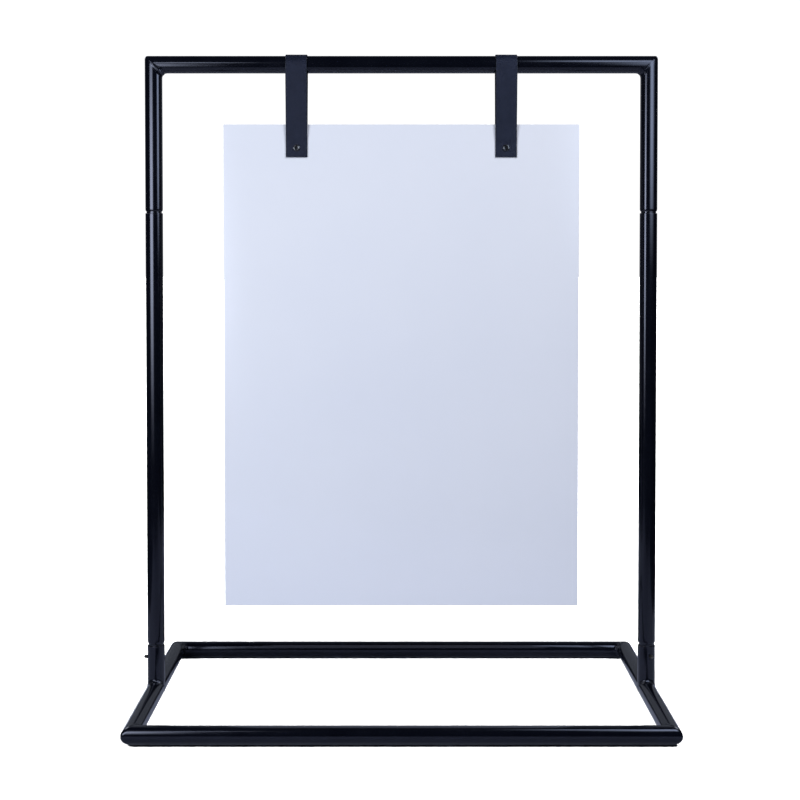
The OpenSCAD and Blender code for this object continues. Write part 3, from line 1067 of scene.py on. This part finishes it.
for side, where in SIDES:
    x = snapped(middle(f"{where}_strap").x)
    points, section, path, normal = strap_mesh(x, side * 7.3)
    rows, cols = len(path), len(section)
    away = outer_sign(normal)
    n3 = np.repeat(np.stack([np.zeros(rows), normal[:, 0], normal[:, 1]], 1), cols, 0) * away
    outer = np.tile(section[:, 1], rows) * away > 0.3 * MM
    points = points + n3 * (relief(points, x, side) * outer)[:, None]
    strap = new_object(f"{where}_leather_strap", points, strip_faces(rows, cols), 50)
    set_wear(strap, strap_wear(x, path[0][1]))
    dress(strap, leather, "sign", "strap_leather", f"{where}_strap")

    # the two-part screw: a plain flat head in front and a slotted one behind
    seat = PANEL_HIGH.y + STRAP_T
    centre = (x, 0, SCREW_Z)
    outline = [(0, 0.3 * MM - seat), (BARREL_R, 0.3 * MM - seat), (BARREL_R, seat)]
    outline += screw_head(seat)
    outline += [(HEAD_R - HEAD_EASE - u * MM, seat + HEAD_T - v * MM) for u, v in DISH]
    outline += [(0, seat + HEAD_T - DISH_DEPTH)]
    nut = turned_piece(f"{where}_front_head", outline, centre, (0, -1, 0))
    set_wear(nut, head_wear(x))
    dress(nut, lacquer, "sign", "screw_black", f"{where}_barrel_nut")

    outline = [(0, seat - MM), (SCREW_R, seat - MM), (SCREW_R, seat)]
    outline += screw_head(seat) + [(0, seat + HEAD_T)]
    screw = turned_piece(f"{where}_back_head", outline, centre, (0, 1, 0))
    boolean_cut(screw, slot_cutter(x, seat + HEAD_T))
    set_wear(screw, head_wear(x))
    dress(screw, lacquer, "sign", "screw_black", f"{where}_screw")


def panel_mesh():
    """The sheet: broad faces, with small rounded edges all round."""
    ease, corner_r = 0.35 * MM, 0.9 * MM
    half_w, half_h = (PANEL_HIGH.x - PANEL_LOW.x) / 2, (PANEL_HIGH.z - PANEL_LOW.z) / 2
    half_t = (PANEL_HIGH.y - PANEL_LOW.y) / 2
    centre_z = (PANEL_HIGH.z + PANEL_LOW.z) / 2

    profile = arc(ease, -half_t + ease, ease, 270, 180, 4)
    profile += arc(ease, half_t - ease, ease, 180, 90, 4)
    points = []
    for inset, y in profile:
        corner = max(corner_r - inset, 0.05 * MM)
        outline = rounded_box(half_w - inset, half_h - inset, corner, 5)
        points += [(x, y, centre_z + z) for x, z in outline]
    cols = len(outline)
    faces = grid_faces(len(profile), cols, wrap_rows=False)
    faces += [tuple(range(cols)), tuple(range(len(points) - cols, len(points)))[::-1]]
    return new_object("panel_sheet", points, faces, 30)


def sheet_wear(p):
    """The sheet's edges show the saw, and its two faces don't."""
    return np.where(np.abs(p[:, 1]) > PANEL_HIGH.y - 0.02 * MM, 0.0, 1.0)


panel = panel_mesh()
set_wear(panel, sheet_wear)
dress(panel, white, "sign", "panel_white", "sign_panel")


# ---- the studio ----
# The picture's white is kept apart from what lights the object: the camera sees a bright floor
# and a bright world, while reflections and bounced light see a paper floor, a dim wall and
# softboxes in a dark room.


def flat_sheet(name, x, front, back, z):
    """A level rectangle, from -x to x and from front to back."""
    points = [(-x, front, z), (x, front, z), (x, back, z), (-x, back, z)]
    return new_object(name, points, [(0, 1, 2, 3)])


def seen_by(thing, camera=False, diffuse=False, glossy=False):
    """Limits a staged thing to the named kinds of ray. It never casts a shadow."""
    thing.visible_camera = camera
    thing.visible_diffuse = diffuse
    thing.visible_glossy = glossy
    thing.visible_transmission = diffuse
    thing.visible_volume_scatter = False
    thing.visible_shadow = False


floor = flat_sheet("studio_floor", 30, -30, 30, 0)
floor.data.materials.append(floor_material("studio_paper", (0.86, 0.86, 0.86)))
seen_by(floor, camera=True)

paper = flat_sheet("paper_floor", 0.9, -1.12, 1.2, -0.5 * MM)
# the paper darkens from y = -0.25 to y = -1.0, towards the front: painted shade for paper lying further
# from the lamps
paper.data.materials.append(
    floor_material("table_paper_painted_shade", (0.385, 0.42, 0.555), (0.18, 0.197, 0.278), -0.25, -1.0)
)
seen_by(paper, diffuse=True, glossy=True)


def glow_material(name, strength, profile, colour):
    """An emitter whose strength is shaped by profile, a function of the sheet's own x and y
    from -1 to 1."""
    n = Nodes(name)
    n.tree.nodes.remove(n.shader)
    split = n.add("ShaderNodeSeparateXYZ", {"Vector": n.coords})
    shape = profile(n, split.outputs["X"], split.outputs["Y"])
    light = n.add("ShaderNodeEmission", {"Color": (*colour, 1)})
    n.put(light.inputs["Strength"], n.maths("MULTIPLY", shape, strength))
    n.tree.links.new(light.outputs[0], n.tree.nodes["Material Output"].inputs["Surface"])
    return n.material


def bell(inner, outer):
    """A soft-edged profile: full inside inner, nothing past outer."""

    def profile(n, x, y):
        parts = []
        for value, low, high in ((x, inner[0], outer[0]), (y, inner[1], outer[1])):
            node = n.add(
                "ShaderNodeMapRange",
                {"Value": n.maths("ABSOLUTE", value, 0), "From Min": high, "From Max": low},
                interpolation_type="SMOOTHSTEP",
            )
            parts.append(node.outputs["Result"])
        return n.maths("MULTIPLY", *parts)

    return profile


def aimed(thing, where, target, axis):
    """Puts a thing somewhere with one of its axes towards a target."""
    thing.location = where
    thing.rotation_euler = (Vector(target) - Vector(where)).to_track_quat(axis, "Y").to_euler()


def softbox(name, where, target, half_size, strength, profile, colour):
    """A graded softbox that only reflections see."""
    thing = flat_sheet(name, 1, -1, 1, 0)
    aimed(thing, where, target, "Z")
    thing.scale = (*half_size, 1)
    thing.data.materials.append(glow_material(name + "_glow", strength, profile, colour))
    seen_by(thing, glossy=True)


def wall_profile(n, x, y):
    """A little brighter towards the top."""
    return n.span(y, -1, 1, 0.20, 0.45)


COOL = (0.86, 0.90, 1.0)
KEY = (0.95, 0.96, 1.0)
LEFT_COOL = (0.77, 0.84, 1.0)
RIGHT_COOL = (0.68, 0.79, 1.0)

left_bell = bell((0.48, 0.08), (1, 1))
right_bell = bell((0.10, 0.35), (1, 1))
upper_bell = bell((0.3, 0.3), (1, 1))
back_bell = bell((0.4, 0.4), (1, 1))
softbox("left_box", (-0.89, -0.95, 0.74), (-0.89, 0, 0.74), (0.53, 0.53), 10.4, left_bell, LEFT_COOL)
softbox("upper_left_box", (-0.52, -0.93, 1.24), (-0.52, 0, 1.24), (0.26, 0.14), 5.4, upper_bell, LEFT_COOL)
softbox("right_box", (0.575, -0.43, 1.02), (0.045, 0.02, 0.90), (0.36, 0.44), 7.6, right_bell, RIGHT_COOL)
softbox("upper_right_box", (0.48, -0.45, 1.29), (0.48, 0, 0.91), (0.29, 0.16), 6.6, upper_bell, RIGHT_COOL)
softbox("back_left_box", (-1.3, 1.15, 1.6), (0, 0, 0.5), (0.4, 0.5), 5.0, back_bell, COOL)
softbox("back_right_box", (1.3, 1.15, 1.6), (0, 0, 0.5), (0.4, 0.5), 5.0, back_bell, COOL)
softbox("back_wall", (0, 1.6, 1.6), (0, 0, 1.6), (2.6, 1.5), 1.0, wall_profile, LEFT_COOL)


def area_light(name, where, target, size, power, colour):
    """A softbox for matte surfaces, kept out of reflections and off the camera's floor."""
    data = bpy.data.lights.new(name, "AREA")
    data.shape = "RECTANGLE"
    data.size, data.size_y = size
    data.energy = power
    data.color = colour
    thing = bpy.data.objects.new(name, data)
    aimed(thing, where, target, "-Z")
    thing.visible_glossy = False
    bpy.context.scene.collection.objects.link(thing)
    thing.light_linking.receiver_collection = not_the_floor


not_the_floor = bpy.data.collections.new("all_but_the_floor")
not_the_floor.objects.link(floor)
not_the_floor.collection_objects[0].light_linking.link_state = "EXCLUDE"

area_light("left_key", (-1.5, -1.7, 0.85), (0, 0, 0.45), (1.2, 1.2), 39.5, (0.91, 0.945, 1.0))
area_light("right_key", (1.2, -1.5, 1.9), (0, 0, 0.6), (1.2, 1.2), 34, KEY)
area_light("back_fill", (0, 2.2, 1.6), (0, 0, 0.5), (2.4, 1.6), 60, KEY)
area_light("top_fill", (0, -0.2, 2.6), (0, 0, 0), (2.0, 2.0), 3, KEY)

# the camera's floor has two suns of its own, which only the base's rails shade
only_the_floor = bpy.data.collections.new("the_floor")
only_the_floor.objects.link(floor)
base_rails = bpy.data.collections.new("the_base")
for where in ("front", "back", "left", "right"):
    base_rails.objects.link(bpy.data.objects[f"{where}_rail"])
SUN_LEAN = 0.06
for side, height in ((-1, math.radians(35)), (1, math.radians(52))):
    data = bpy.data.lights.new("floor_sun", "SUN")
    data.energy = 9
    data.angle = math.radians(8)
    sun = bpy.data.objects.new("floor_sun", data)
    along = Vector((-side * math.cos(height), SUN_LEAN, -math.sin(height)))
    sun.rotation_euler = along.to_track_quat("-Z", "Y").to_euler()
    bpy.context.scene.collection.objects.link(sun)
    sun.light_linking.receiver_collection = only_the_floor
    sun.light_linking.blocker_collection = base_rails

world = bpy.data.worlds.new("studio")
bpy.context.scene.world = world
world.use_nodes = True
background = world.node_tree.nodes["Background"]
background.inputs["Color"].default_value = (1, 1, 1, 1)
background.inputs["Strength"].default_value = 1.1
for ray in ("diffuse", "glossy", "transmission", "scatter"):
    setattr(world.cycles_visibility, ray, False)

# ---- the camera ----

lens = bpy.data.cameras.new("camera")
lens.sensor_width = 36
lens.lens = 70.25
lens.shift_x = 0.0033
lens.shift_y = -0.1337
lens.clip_end = 100
camera = bpy.data.objects.new("camera", lens)
camera.location = (-0.0057, -2.2448, 0.6539)
camera.rotation_euler = (math.radians(88.25), 0, 0)
bpy.context.scene.collection.objects.link(camera)
bpy.context.scene.camera = camera
bpy.context.scene.view_settings.view_transform = "Standard"
